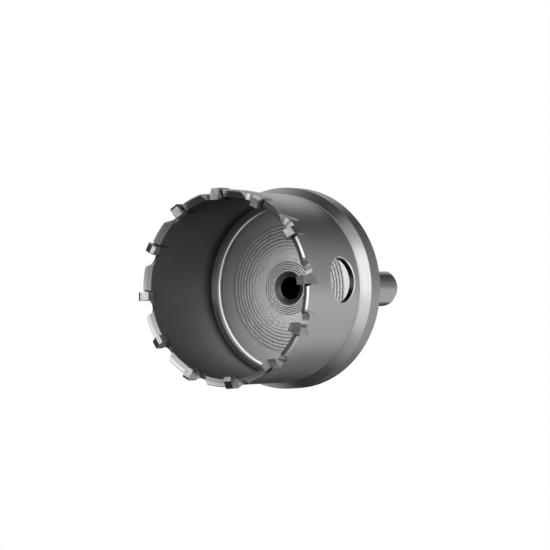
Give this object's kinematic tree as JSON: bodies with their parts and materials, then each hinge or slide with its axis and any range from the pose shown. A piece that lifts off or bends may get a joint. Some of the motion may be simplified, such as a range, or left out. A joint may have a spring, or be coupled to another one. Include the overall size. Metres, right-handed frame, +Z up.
{
  "type": "hole saw",
  "caption": "Carbide-tipped hole saw: a thin steel cup with brazed tips at its rim, a chip window, a stop flange, a hub and a three-flat shank.",
  "frame": {"origin": "on the axis, in the plane of the cutting edges that the saw stands on", "axes": "+Z up along the axis from the cutting edges to the shank; +X through the chip window and tip 01"},
  "size_m": [0.0528, 0.0528, 0.0825],
  "materials": {
    "turned_steel": "fine turned, satin",
    "carbide": "ground, fine scratches",
    "black_oxide_steel": "black oxide"
  },
  "bodies": {
    "root": {"saw_body": "turned_steel", "carbide_tip_01": "carbide", "carbide_tip_02": "carbide", "carbide_tip_03": "carbide", "carbide_tip_04": "carbide", "carbide_tip_05": "carbide", "carbide_tip_06": "carbide", "carbide_tip_07": "carbide", "carbide_tip_08": "carbide", "carbide_tip_09": "carbide", "carbide_tip_10": "carbide", "carbide_tip_11": "carbide", "carbide_tip_12": "carbide", "pilot_grub_screw": "black_oxide_steel"}
  },
  "joints": []
}
